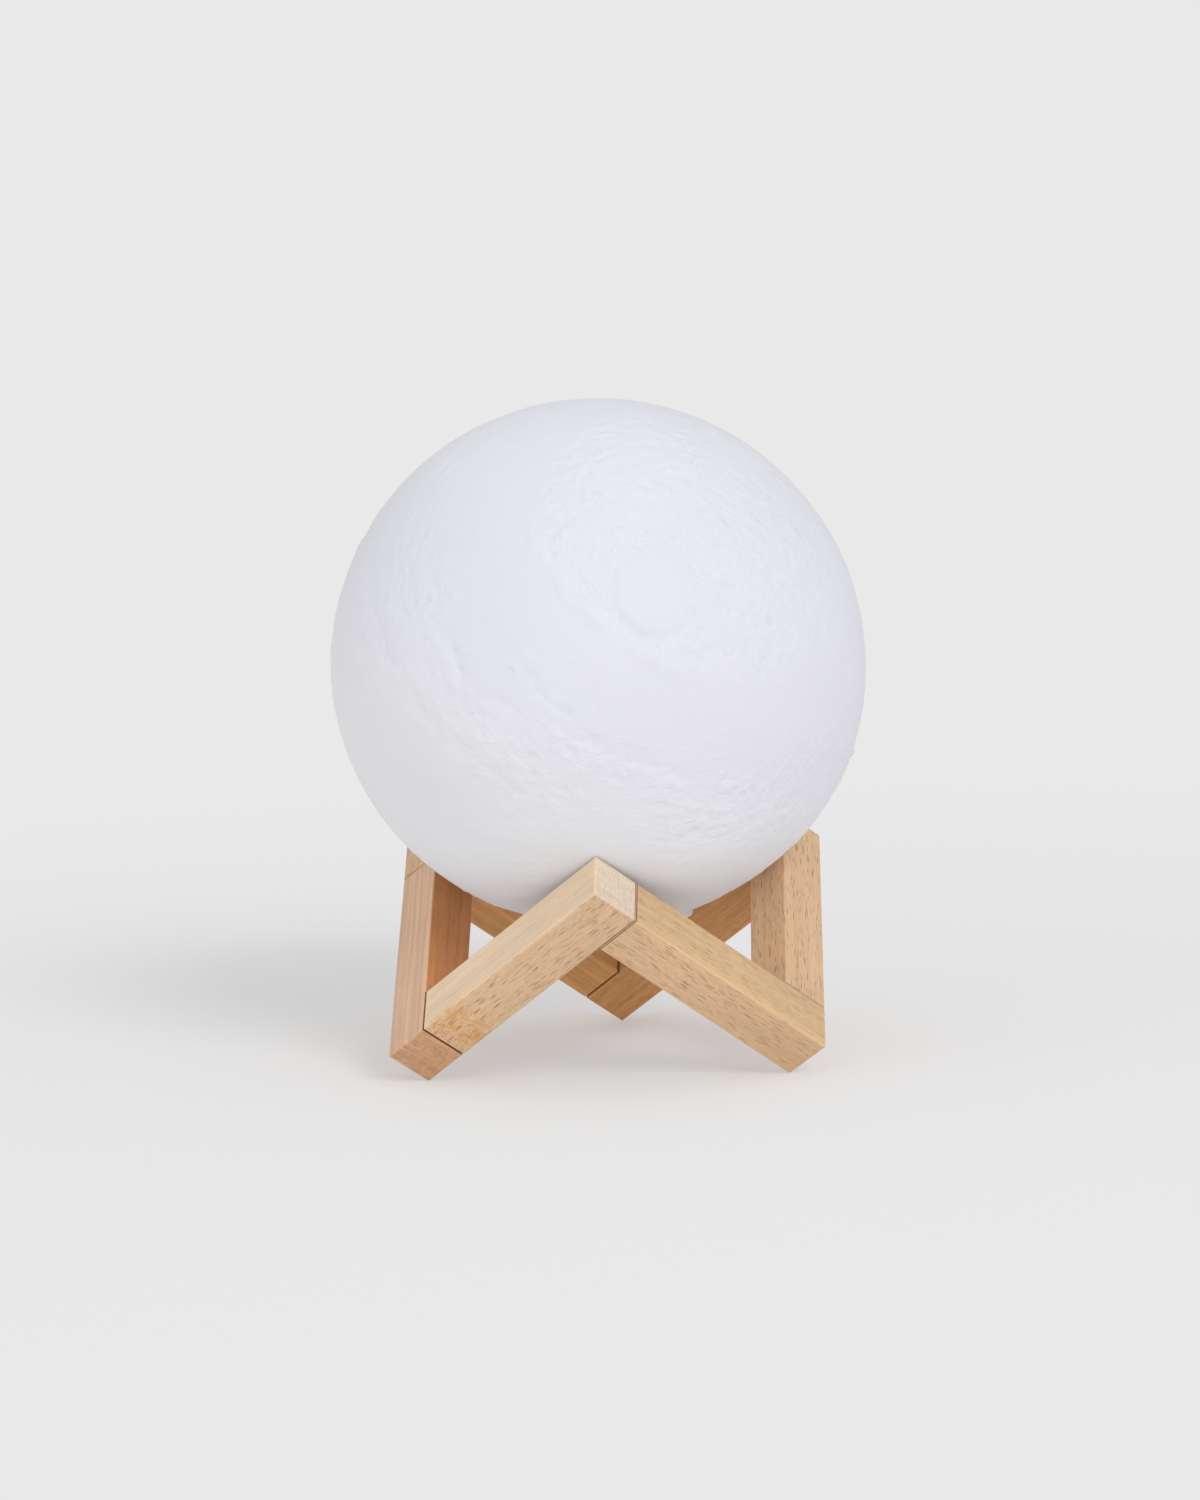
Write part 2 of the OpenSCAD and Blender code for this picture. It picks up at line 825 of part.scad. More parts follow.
// Protection board across the top of the cell.
module battery_board() {
    color(board_green)
        at_base()
            translate([-cell_w * 0.45, -cell_t * 0.3, cell_z + cell_l + glue_t])
                cube([cell_w * 0.9, cell_t * 0.6, cell_strip_h - glue_t]);
}

module battery_pad() {
    color(lead_black)
        at_base()
            translate([-cell_w * 0.4, -cell_t * 0.3, cell_top + glue_t])
                cube([cell_w * 0.8, cell_t * 0.6, pad_t]);
}

// Pair of leads that stay in planes of constant x.
module lead_pair(path, spread) {
    across = [for (p = path) [1, 0, 0]];
    for (s = [-1, 1])
        translate([s * spread, 0, 0])
            tube(path, across, lead_d / 2, 8);
}

module battery_leads() {
    exit_y = cell_t * 0.3 + glue_t;
    exit_z = cell_top - cell_strip_h / 2;
    color(lead_red)
        at_base()
            lead_pair([[0, exit_y, exit_z],
                [0, exit_y + lead_bend, exit_z],
                [0, exit_y + 1.65 * lead_bend, exit_z - 0.65 * lead_bend],
                [0, exit_y + 1.9 * lead_bend, exit_z - 2.3 * lead_bend],
                [0, battery_lead_y, cell_z + cell_l * 0.4],
                [0, battery_lead_y, board_top + glue_t]], lead_d / 2 + lead_pair_gap * 2);
}

// Pair that rises through the deck and loops over the edge of its hole on to the light board.
module light_leads() {
    loop_z = light_board_top + lead_d * 1.4;
    color(lead_black)
        at_base()
            translate([0, light_hole_y, 0])
                lead_pair([[0, 0, board_top + glue_t],
                    [0, 0, loop_z - lead_d],
                    [0, 0.12 * lead_loop_w, loop_z - 0.2 * lead_d],
                    [0, 0.35 * lead_loop_w, loop_z],
                    [0, 0.7 * lead_loop_w, loop_z],
                    [0, 0.92 * lead_loop_w, loop_z - 0.35 * lead_d],
                    [0, lead_loop_w, light_board_top + glue_t]], (lead_d + lead_pair_gap) / 2);
}

// ---- Light board ----

module light_board() {
    color(base_white)
        at_base()
            difference() {
                translate([0, 0, light_board_z])
                    cylinder(r = light_board_r, h = light_board_t);
                for (a = light_screw_turns)
                    translate(turn(light_screw_circle, a) + [0, 0, light_board_z - 1])
                        cylinder(d = small_screw[0] + 2 * head_fit, h = light_board_t + 2);
                translate([0, light_hole_y, light_board_z - 1])
                    cylinder(d = light_hole_d, h = light_board_t + 2);
            }
}

module light_chip_set() {
    chip_w = 3.5;
    chip_h = 1.5;
    color(light_yellow)
        at_base()
            for (k = [0 : light_chips - 1])
                rotate([0, 0, 360 * k / light_chips])
                    translate([light_circle - chip_w / 2, -chip_w / 2, light_board_top + glue_t])
                        cube([chip_w, chip_w, chip_h]);
}

module light_screws() {
    color(steel)
        at_base()
            for (a = light_screw_turns)
                translate(turn(light_screw_circle, a) + [0, 0, light_board_top + glue_t])
                    rotate([180, 0, 0])
                        screw(small_screw, light_screw_l, false);
}

// ---- Power button ----

module power_button() {
    soft_edge = 0.4;
    stem_top = switch_z - plunger_out - glue_t;
    color(base_white)
        at_base()
            translate([0, button_y, 0]) {
                translate([0, 0, button_face_z])
                    rotate_extrude()
                        union() {
                            square([button_d / 2 - soft_edge, button_lip_z - button_face_z + tiny]);
                            translate([0, soft_edge])
                                square([button_d / 2, button_lip_z - button_face_z + tiny - soft_edge]);
                            intersection() {
                                translate([button_d / 2 - soft_edge, soft_edge])
                                    circle(soft_edge);
                                square([button_d, button_d]);
                            }
                        }
                translate([0, 0, button_lip_z])
                    cylinder(d = button_lip_d, h = button_lip_t);
                translate([0, 0, button_lip_z + button_lip_t - tiny])
                    cylinder(d = button_stem_d, h = stem_top - button_lip_z - button_lip_t + tiny);
            }
}

module switch_plunger() {
    color(steel)
        at_base()
            translate([0, button_y, switch_z - plunger_out])
                cylinder(d = plunger_d, h = plunger_out + plunger_in);
}

front_left_bar();
front_right_bar();
right_bar();
back_right_bar();
back_left_bar();
left_bar();
joint_dowels();
moon_shell();
lamp_housing();
base_cover();
touch_ring();
touch_spring();
cover_screws();
control_board();
board_screws();
charge_socket();
socket_tongue();
button_switch();
control_chips();
board_capacitors();
board_resistors();
power_inductor();
indicator_led();
light_pipe();
battery_cell();
battery_board();
battery_pad();
battery_leads();
light_leads();
light_board();
light_chip_set();
light_screws();
power_button();
switch_plunger();
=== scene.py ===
import math
from collections import namedtuple

import bpy
import numpy as np
from mathutils import Matrix, Vector


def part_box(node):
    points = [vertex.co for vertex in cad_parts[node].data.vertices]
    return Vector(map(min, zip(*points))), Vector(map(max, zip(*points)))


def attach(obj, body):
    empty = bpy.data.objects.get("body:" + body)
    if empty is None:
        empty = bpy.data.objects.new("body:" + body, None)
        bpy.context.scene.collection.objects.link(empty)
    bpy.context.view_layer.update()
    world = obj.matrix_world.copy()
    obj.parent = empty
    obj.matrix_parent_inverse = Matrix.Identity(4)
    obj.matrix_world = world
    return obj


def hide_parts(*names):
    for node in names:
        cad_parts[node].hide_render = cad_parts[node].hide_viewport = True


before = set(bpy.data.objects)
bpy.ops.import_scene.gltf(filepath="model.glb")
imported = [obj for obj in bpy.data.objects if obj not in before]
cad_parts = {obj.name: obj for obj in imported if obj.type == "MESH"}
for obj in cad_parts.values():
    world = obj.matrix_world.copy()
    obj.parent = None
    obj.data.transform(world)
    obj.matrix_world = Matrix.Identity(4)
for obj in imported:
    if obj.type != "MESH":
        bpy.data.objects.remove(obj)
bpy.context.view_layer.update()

MM = 0.001

# Sizes of the moon and the three corners that carry it, as in the part's source, in millimetres.
BALL_R = 75.0
BALL_WALL = 2.0
FLAT_R = 25.0
COLLAR_BORE_R = 18.95
COLLAR_R = 21.95
COLLAR_H = 12.0
BALL_CENTRE_Z = 114.119
SEAT_CORNER_R = 58.38
SEAT_CORNER_Z = 66.56
SEAT_TURNS = (30, 150, 270)

# Sizes of the stand, in millimetres.
BAR_SIDE = 14.8
BAR_LENGTH = 71.5
GLUE_LINE = 0.15


# ---- Formulas written as nodes ----

class Amount:
    """A socket that adds, subtracts, multiplies and divides like a number."""

    def __init__(self, maker, socket):
        self.maker = maker
        self.socket = socket

    def __add__(self, other):
        return self.maker.math("ADD", self, other)

    def __sub__(self, other):
        return self.maker.math("SUBTRACT", self, other)

    def __mul__(self, other):
        return self.maker.math("MULTIPLY", self, other)

    def __truediv__(self, other):
        return self.maker.math("DIVIDE", self, other)

    def __rsub__(self, other):
        return self.maker.math("SUBTRACT", other, self)

    __radd__ = __add__
    __rmul__ = __mul__


class Maker:
    """Puts nodes into a material's or a geometry's tree."""

    def __init__(self, tree):
        self.tree = tree

    def join(self, socket, value):
        """Links a socket or sets its value: a vector socket takes the first three parts of a colour."""
        if isinstance(value, Amount):
            value = value.socket
        if isinstance(value, bpy.types.NodeSocket):
            self.tree.links.new(value, socket)
        else:
            socket.default_value = value[:3] if socket.type == "VECTOR" else value

    def put(self, kind, inputs=None, **settings):
        node = self.tree.nodes.new(kind)
        for name, value in settings.items():
            setattr(node, name, value)
        for name, value in (inputs or {}).items():
            self.join(node.inputs[name], value)
        return node

    def math(self, operation, *values):
        node = self.put("ShaderNodeMath", dict(enumerate(values)), operation=operation)
        return Amount(self, node.outputs[0])

    def vector(self, operation, *values):
        node = self.put("ShaderNodeVectorMath", dict(enumerate(values)), operation=operation)
        scalar = operation in ("DOT_PRODUCT", "LENGTH", "DISTANCE")
        return Amount(self, node.outputs["Value" if scalar else "Vector"])

    def scaled(self, vector, factor):
        node = self.put("ShaderNodeVectorMath", {0: vector, "Scale": factor}, operation="SCALE")
        return Amount(self, node.outputs["Vector"])

    def parts(self, vector):
        node = self.put("ShaderNodeSeparateXYZ", {0: vector})
        return [Amount(self, node.outputs[k]) for k in range(3)]

    def joined(self, x, y, z):
        return Amount(self, self.put("ShaderNodeCombineXYZ", {0: x, 1: y, 2: z}).outputs[0])

    def step(self, value, low, high):
        """Smooth rise from 0 at low to 1 at high, or a fall where low is the larger."""
        if low > high:
            return 1.0 - self.step(value, high, low)
        node = self.put("ShaderNodeMapRange", {"Value": value, "From Min": low, "From Max": high},
                        interpolation_type="SMOOTHSTEP")
        return Amount(self, node.outputs["Result"])

    def bell(self, value, centre, width):
        off = (value - centre) / width
        return self.math("EXPONENT", off * off * -1.0)

    def angle_from(self, way, direction):
        """Angle between two unit vectors, in radians."""
        lean = self.vector("DOT_PRODUCT", way, tuple(direction))
        return self.math("ARCCOSINE", self.math("MINIMUM", self.math("MAXIMUM", lean, -1.0), 1.0))

    def shifted(self, place, shift):
        return self.vector("ADD", place, (shift, shift * 1.7, shift * -2.3)) if shift else place

    def noise(self, place, scale, detail=2.0, roughness=0.5, shift=0.0, warp=0.0):
        """Cloudy amount from 0 to 1 with its middle at 0.5; the shift stands for a seed."""
        inputs = {"Vector": self.shifted(place, shift), "Scale": scale, "Detail": detail,
                  "Roughness": roughness, "Distortion": warp}
        return Amount(self, self.put("ShaderNodeTexNoise", inputs).outputs[0])

    def cells(self, place, scale, shift=0.0, **settings):
        """Distance to the nearest scattered point, and a random colour for that point."""
        inputs = {"Vector": self.shifted(place, shift), "Scale": scale}
        node = self.put("ShaderNodeTexVoronoi", inputs, **settings)
        return Amount(self, node.outputs["Distance"]), Amount(self, node.outputs.get("Color"))

    def seen_directly(self):
        """1 where the camera looks, also in a reflection or through something clear, and 0 for soft light."""
        path = self.put("ShaderNodeLightPath").outputs
        camera_or_gloss = self.math("MAXIMUM", path["Is Camera Ray"], path["Is Glossy Ray"])
        return self.math("MAXIMUM", camera_or_gloss, path["Is Transmission Ray"])

    def blend(self, factor, first, second):
        # A mix node keeps its two colours in sockets 6 and 7.
        node = self.put("ShaderNodeMix", data_type="RGBA")
        self.join(node.inputs[0], factor)
        self.join(node.inputs[6], first)
        self.join(node.inputs[7], second)
        return Amount(self, node.outputs[2])


def seen(red, green, blue):
    """A colour as it is seen, 0 to 255, turned into the amounts of light that a shader takes."""
    light = [c / 255 / 12.92 if c <= 10 else ((c / 255 + 0.055) / 1.055) ** 2.4 for c in (red, green, blue)]
    return (*light, 1.0)


class Finish(Maker):
    """A material with one Principled surface, and helpers for what every finish needs."""

    def __init__(self, name):
        self.material = bpy.data.materials.new(name)
        self.material.use_nodes = True
        super().__init__(self.material.node_tree)
        self.tree.nodes.clear()
        self.surface = self.put("ShaderNodeBsdfPrincipled")
        self.out = self.put("ShaderNodeOutputMaterial", {"Surface": self.surface.outputs[0]})
        self.place = Amount(self, self.put("ShaderNodeTexCoord").outputs["Object"])

    def in_mm(self, centre=(0, 0, 0), turn=(0, 0, 0)):
        """Object coordinates in millimetres, from a centre given in metres and in a piece's own axes."""
        node = self.put("ShaderNodeMapping", {"Vector": self.place}, vector_type="TEXTURE")
        node.inputs["Location"].default_value = centre
        node.inputs["Rotation"].default_value = turn
        node.inputs["Scale"].default_value = (MM, MM, MM)
        return Amount(self, node.outputs[0])

    def stored(self, name):
        """A value that the shape's node tree left on the mesh."""
        return Amount(self, self.put("ShaderNodeAttribute", attribute_name=name).outputs["Fac"])

    def give(self, **values):
        """Links or sets inputs of the surface."""
        for name, value in values.items():
            self.join(self.surface.inputs[name.replace("_", " ")], value)

    def bump(self, height, distance_mm):
        node = self.put("ShaderNodeBump", {"Height": height, "Strength": 1.0, "Distance": distance_mm * MM})
        self.join(self.surface.inputs["Normal"], node.outputs[0])


# ---- The moon ----

# How finely the plain ball is divided, and by what share its columns crowd at the front.
MOON_COLUMNS = 384
FRONT_CROWDING = 0.35
OUTSIDE_ROWS = 224
FLAT_ROWS = 4
BORE_ROWS = 4
COLLAR_ROWS = 3
INSIDE_ROWS = 22


def toward(bearing, rise):
    """Unit vector by bearing to the right of the front and height angle, in degrees."""
    turn, lift = math.radians(bearing - 90), math.radians(rise)
    return Vector((math.cos(lift) * math.cos(turn), math.cos(lift) * math.sin(turn), math.sin(lift)))


def lathe(name, profile, columns, crowding):
    """Closed turned shell about the z axis, its columns closer together at the front by a share.

    The profile's first and last points lie on the axis."""
    steps = np.arange(columns) * 2 * math.pi / columns
    turns = steps - crowding * np.sin(steps) - math.pi / 2
    ring = np.stack([np.cos(turns), np.sin(turns)], 1)
    rows = [np.column_stack([ring * r, np.full(columns, z)]) for r, z in profile[1:-1]]
    verts = np.concatenate([[[0, 0, profile[0][1]]], *rows, [[0, 0, profile[-1][1]]]])
    faces, last = [], len(verts) - 1
    for k in range(columns):
        n = (k + 1) % columns
        faces.append((0, 1 + n, 1 + k))
        for row in range(len(rows) - 1):
            a, b = 1 + row * columns, 1 + (row + 1) * columns
            faces.append((a + k, a + n, b + n, b + k))
        a = 1 + (len(rows) - 1) * columns
        faces.append((a + k, a + n, last))
    mesh = bpy.data.meshes.new(name)
    mesh.from_pydata(verts.tolist(), [], faces)
    mesh.update()
    return mesh


def moon_profile():
    """From the top of the outside down to the flat, up the collar's bore, and back along the inner wall."""
    inner_r = BALL_R - BALL_WALL
    flat_z = -math.sqrt(BALL_R ** 2 - FLAT_R ** 2)
    low = math.acos(flat_z / BALL_R)
    outer = [(BALL_R * math.sin(t), BALL_R * math.cos(t)) for t in np.linspace(0, low, OUTSIDE_ROWS)]
    flat = [(r, flat_z) for r in np.linspace(FLAT_R, COLLAR_BORE_R, FLAT_ROWS)[1:]]
    top_z = flat_z + COLLAR_H
    bore = [(COLLAR_BORE_R, z) for z in np.linspace(flat_z, top_z, BORE_ROWS)[1:]]
    wall_z = -math.sqrt(inner_r ** 2 - COLLAR_R ** 2)
    collar = [(COLLAR_R, z) for z in np.linspace(top_z, wall_z, COLLAR_ROWS)]
    start = math.acos(wall_z / inner_r)
    rising = np.linspace(start, 0, INSIDE_ROWS)[1:]
    inner = [(inner_r * math.sin(t), inner_r * math.cos(t)) for t in rising]
    return [(r * MM, (z + BALL_CENTRE_Z) * MM) for r, z in outer + flat + bore + collar + inner]


# Heights and reaches of the relief in millimetres: the named inputs of its node tree.
RELIEF_SIZES = {
    "Ball radius": BALL_R, "Centre height": BALL_CENTRE_Z, "Lump height": 0.5, "Ring height": 0.6,
    "Rough height": 0.85, "Crater depth": 0.5, "Streak height": 0.12, "Seat clearance": 9.0,
}
# Beyond the seat clearance the relief rises to its full height over this many millimetres.
SEAT_FADE = 9.0

# The big basin: a smooth floor inside a trough. Radius and width of the trough and edge of the floor in
# millimetres.
BASIN = toward(15.4, 19)
RIGHT_OF_BASIN = Vector((0, 0, 1)).cross(BASIN).normalized()
ABOVE_BASIN = BASIN.cross(RIGHT_OF_BASIN)
TROUGH_R = 12.3
TROUGH_W = 1.25
FLOOR_EDGE = (10.6, 12.6)
# Where the ground drawn out round the basin fades, in millimetres from its centre.
DRAWN_OUT_REACH = (150.0, 110.0)

# Rough upland round the basin: bearing, height angle and reach in millimetres.
UPLAND = (34, 35, 49)
# Rough ground on the side in the photo: bearing, height angle, reach in millimetres, share.
ROUGH_PATCHES = (
    (-62, 38, 11, 0.7), (-43, 28, 12, 0.7), (-40, 17, 11, 0.8), (-56, 14, 11, 0.7), (-50, 2, 10, 0.6),
    (-60, 53, 12, 0.5), (-35, 4, 8, 0.9), (-29, -5, 9, 1.0), (-23, -12, 9, 1.0), (-13, -18, 10, 1.0),
    (-7, 0, 7, 0.8), (-2, -10, 9, 1.1), (6, -15, 9, 1.1), (15, -20, 9, 1.0), (26, -22, 9, 0.9),
    (36, -21, 9, 0.8), (50, -18, 11, 1.1), (62, -20, 11, 1.0), (22, -32, 13, 1.1), (40, -32, 13, 1.1),
    (58, -34, 13, 0.9), (-6, -28, 11, 0.5), (-20, -30, 11, 0.4), (-10, 30, 7, 0.8), (-62, -5, 10, 0.5),
    (-58, -18, 10, 0.5),
)
# What the reaches and the shares of all the rough patches are multiplied by.
PATCH_SPREAD = 1.15
PATCH_SHARE = 0.46
# Long ridges and grooves, each part of a circle on the ball: bearing and height angle of the circle's centre
# and its radius, those of the middle of the part that shows and its reach, and the ridge's width and height.
LONG_RIDGES = (
    (40.5, 41.1, 56.1, 3.0, 13.0, 30, 2.1, 0.46), (40.5, 41.1, 52.0, 3.0, 13.0, 26, 1.3, -0.30),
    (40.5, 41.1, 60.4, 0.0, 18.0, 24, 1.2, -0.16), (0.7, 25.9, 45.1, -26.6, 5.9, 22, 1.3, -0.36),
    (0.7, 25.9, 48.6, -26.6, 5.9, 24, 1.7, 0.13), (120.3, 65.3, 147.1, 4.6, -13.7, 26, 1.3, -0.24),
    (120.3, 65.3, 150.4, 4.6, -13.7, 26, 1.6, 0.12), (43.3, 35.2, 79.4, -5.5, -3.6, 22, 1.1, -0.30),
    (43.3, 35.2, 76.6, -5.5, -3.6, 20, 1.4, 0.18), (24.0, 40.1, 94.2, -38.0, 0.0, 42, 2.4, -0.26),
)
# Smooth plains: bearing, height angle, reach, share taken from the rough ground.
SMOOTH_PLAINS = (
    (-25, 26, 7, 0.8), (-20, 14, 7, 0.9), (-30, 33, 7, 0.6), (-22, 40, 7, 0.5), (2, -2, 6, 0.9),
    (12, -5, 7, 1.1), (25, -8, 7, 1.0), (37, -11, 7, 0.8), (-47, -10, 9, 0.7), (-37, -24, 9, 0.6),
    (-14, 6, 5, 0.5),
)
# Scattered craters: how many lie along the ball's radius, share of the crater depth, seed.
CRATER_FIELDS = ((6.0, 0.8, 4.0), (12.0, 0.7, 6.0), (22.0, 0.42, 7.0))
# Single craters that show: bearing, height angle, radius, depth.
LONE_CRATERS = (
    (48.2, 18.1, 2.5, 0.45), (41.6, 11.1, 1.7, 0.40), (62.0, 29.8, 1.7, 0.40), (52.5, 25.5, 1.4, 0.30),
    (-37.4, 17.9, 2.1, 0.36), (-31.7, 18.3, 1.8, 0.36), (-4.0, -13.5, 2.2, 0.36), (30.0, 9.0, 1.4, 0.30),
    (-45.0, 24.0, 1.8, 0.35), (57.0, 12.0, 1.5, 0.35), (36.0, -26.0, 1.8, 0.35), (-15.8, 3.6, 1.3, 0.45),
)
# Broad swellings of the print: bearing, height angle, reach, height.
SWELLINGS = (
    (-87, -10, 58, 1.6), (93, 46, 46, -0.85), (0, 88, 46, -0.55), (93, -30, 26, 0.9), (-52, 52, 24, 0.3),
    (60, -50, 20, -0.6), (20, 20, 26, -0.25),
)
# A small blob of plastic, 1 mm high, that the print left on the right: bearing, height angle, reach.
BLOB = (90.4, -21.9, 1.3)


def beside_basin(m, way):
    """Distance from the basin's centre in millimetres, and the direction seen from there in two parts."""
    out = m.angle_from(way, BASIN) * BALL_R
    side = m.math("MAXIMUM", m.math("SINE", out / BALL_R), 0.02)
    across = m.vector("DOT_PRODUCT", way, tuple(RIGHT_OF_BASIN)) / side
    along = m.vector("DOT_PRODUCT", way, tuple(ABOVE_BASIN)) / side
    return out, across, along


def moon_relief_tree(surface):
    """Moves the outside of a plain ball to lunar ground, and stores height and roughness on the mesh."""
    tree = bpy.data.node_groups.new("moon_relief", "GeometryNodeTree")
    tree.interface.new_socket("Ball", in_out="INPUT", socket_type="NodeSocketGeometry")
    for name in RELIEF_SIZES:
        tree.interface.new_socket(name, in_out="INPUT", socket_type="NodeSocketFloat")
    tree.interface.new_socket("Moon", in_out="OUTPUT", socket_type="NodeSocketGeometry")
    m = Maker(tree)
    given = m.put("NodeGroupInput")
    size = {name: Amount(m, given.outputs[name]) for name in RELIEF_SIZES}
    ball = size["Ball radius"]

    place = m.put("GeometryNodeInputPosition").outputs[0]
    from_centre = m.vector("SUBTRACT", m.scaled(place, 1 / MM), m.joined(0.0, 0.0, size["Centre height"]))
    reach = m.vector("LENGTH", from_centre)
    way = m.vector("NORMALIZE", from_centre)

    def arc(direction):
        """Distance along the ground from a direction, in millimetres."""
        return m.angle_from(way, direction) * ball

    # Broad lumps and swellings of the print.
    lumps = (m.noise(way, 2.1, 2.0, 0.5, 3.0) - 0.5) * 1.3 + (m.noise(way, 5.5, 2.0, 0.5, 8.0) - 0.5) * 0.7
    height = lumps * size["Lump height"]
    for bearing, rise, width, lift in SWELLINGS:
        height = height + m.bell(arc(toward(bearing, rise)), 0.0, width) * lift

    # The basin's trough, deeper at its lower left.
    out, across, along = beside_basin(m, way)
    wavy = (m.noise(way, 9.0, 3.0, 0.6, 1.0) - 0.5) * 6.0
    lower_left = m.step(across * -0.75 + along * -0.66, -0.35, 0.7)
    trough = m.bell(out + wavy * 0.3, TROUGH_R, TROUGH_W) * -0.8 * (0.45 + lower_left * 0.55)
    height = height + trough * size["Ring height"]

    # Long ridges and grooves, broken here and there.
    unbroken = m.step(m.noise(way, 11.0, 2.0, 0.5, 17.0), 0.34, 0.56)
    for bearing, rise, radius, mid_bearing, mid_rise, length, width, lift in LONG_RIDGES:
        across_it = m.bell(arc(toward(bearing, rise)) + wavy, radius, width)
        along_it = m.bell(arc(toward(mid_bearing, mid_rise)), 0.0, length)
        height = height + across_it * along_it * unbroken * lift * size["Ring height"] * 2.0

    # Where the ground is rough.
    back = m.step(m.vector("DOT_PRODUCT", way, tuple(toward(5, 10))), 0.25, -0.15)
    rough = m.step(m.noise(way, 2.3, 2.0, 0.5, 12.0), 0.35, 0.51) * back
    bearing, rise, upland_reach = UPLAND
    upland = arc(toward(bearing, rise)) + wavy * 1.2
    rough = rough + m.step(upland, upland_reach + 2.0, upland_reach - 5.0) * 0.8
    for bearing, rise, width, share in ROUGH_PATCHES:
        patch = m.bell(arc(toward(bearing, rise)), 0.0, width * PATCH_SPREAD)
        rough = rough + patch * (share * PATCH_SHARE)
    for bearing, rise, width, share in SMOOTH_PLAINS:
        rough = rough - m.bell(arc(toward(bearing, rise)), 0.0, width) * share
    rough = rough + (m.noise(way, 7.0, 2.0, 0.5, 21.0) - 0.5) * 0.9
    rough = m.math("MINIMUM", m.math("MAXIMUM", rough, 0.08), 1.1) * m.step(out, *FLOOR_EDGE)

    # Rough ground: soft lumps and ridges between pits, drawn out round the basin as far as the moon's edge.
    near_side = m.step(out, *DRAWN_OUT_REACH)
    round_it = m.joined(across * 4.5, along * 4.5, out * 0.28)
    finer = m.joined(across * 10.0, along * 10.0, out * 0.7)
    pits = (m.noise(way, 22.0, 2.0, 0.55, 2.0) - 0.5) * 0.8
    ground = pits + (m.noise(finer, 1.0, 1.5, 0.5, 9.0) - 0.5) * 1.1 * near_side
    ridged = ((way, 9.0, 0.20, 2.0), (way, 15.0, (1.0 - near_side) * 0.4, 6.0),
              (round_it, 1.0, near_side * 0.34, 5.0))
    for where, scale, share, shift in ridged:
        bent = m.noise(where, scale, 1.5, 0.5, shift, 0.5) - 0.5
        ground = (0.22 - m.math("ABSOLUTE", bent) * 2.8) * share + ground
    height = height + ground * rough * size["Rough height"]

    # Craters in three sizes, each a dish inside a raised rim.
    for scale, share, shift in CRATER_FIELDS:
        near, colour = m.cells(way, scale, shift)
        chance = m.parts(colour)[0]
        edge = near / (chance * 0.30 + 0.14)
        dish = m.step(edge, 0.95, 0.3) * -0.75 + m.bell(edge, 1.0, 0.2) * 0.4
        height = height + dish * share * size["Crater depth"] * (rough * 0.75 + back * 0.55 + 0.02)
    for bearing, rise, radius, depth in LONE_CRATERS:
        edge = arc(toward(bearing, rise)) / radius
        height = height + (m.step(edge, 0.95, 0.2) * -1.0 + m.bell(edge, 1.05, 0.28) * 0.5) * depth

    # Level streaks that the printing leaves, mostly low on the ball.
    x, y, z = m.parts(way)
    flat_way = m.joined(x, y, z * 6.0)
    low = m.step(z, 0.1, -0.5)
    streaks = (m.noise(flat_way, 6.0, 3.0, 0.6, 15.0) - 0.5) * (low + 0.2)
    height = height + streaks * size["Streak height"] * 2.0
    bearing, rise, width = BLOB
    height = height + m.bell(arc(toward(bearing, rise)), 0.0, width)

    # Nothing stands out at the flat below or where the stand's corners carry the moon.
    nearest = arc((0, 0, -1)) - (FLAT_R + 1.0) + size["Seat clearance"]
    corner_z = SEAT_CORNER_Z - BALL_CENTRE_Z
    for turn in SEAT_TURNS:
        a = math.radians(turn)
        corner = Vector((SEAT_CORNER_R * math.cos(a), SEAT_CORNER_R * math.sin(a), corner_z))
        nearest = m.math("MINIMUM", nearest, arc(corner.normalized()))
    free = m.step(nearest - size["Seat clearance"], 0.0, SEAT_FADE)
    outer = m.math("GREATER_THAN", reach, ball - 1.0)
    relief = height * free * outer
    offset = m.scaled(way, relief * MM)
    kept = m.put("GeometryNodeSetPosition", {"Geometry": given.outputs["Ball"], "Offset": offset})
    for name, value in (("rough_ground", rough * free), ("ground_height", relief)):
        inputs = {"Geometry": kept.outputs[0], "Name": name, "Value": value}
        kept = m.put("GeometryNodeStoreNamedAttribute", inputs)
    smooth = m.put("GeometryNodeSetShadeSmooth", {"Geometry": kept.outputs[0]})
    real = m.put("GeometryNodeRealizeInstances", {"Geometry": smooth.outputs[0]})
    coated = m.put("GeometryNodeSetMaterial", {"Geometry": real.outputs[0], "Material": surface})
    m.put("NodeGroupOutput", {"Moon": coated.outputs[0]})
    return tree


def made_by_nodes(name, mesh, tree, sizes):
    """The plain mesh that a node tree makes of a blank."""
    blank = bpy.data.objects.new(name, mesh)
    bpy.context.scene.collection.objects.link(blank)
    modifier = blank.modifiers.new(name, "NODES")
    modifier.node_group = tree
    for item in tree.interface.items_tree:
        if item.in_out == "INPUT" and item.name in sizes:
            modifier[item.identifier] = sizes[item.name]
    bpy.context.view_layer.update()
    evaluated = blank.evaluated_get(bpy.context.evaluated_depsgraph_get())
    result = bpy.data.meshes.new_from_object(evaluated)
    blank.modifiers.remove(modifier)
    blank.data = result
    bpy.data.meshes.remove(mesh)
    result.name = name
    return blank


# Distance between two print lines, in millimetres.
PRINT_LAYER = 0.4


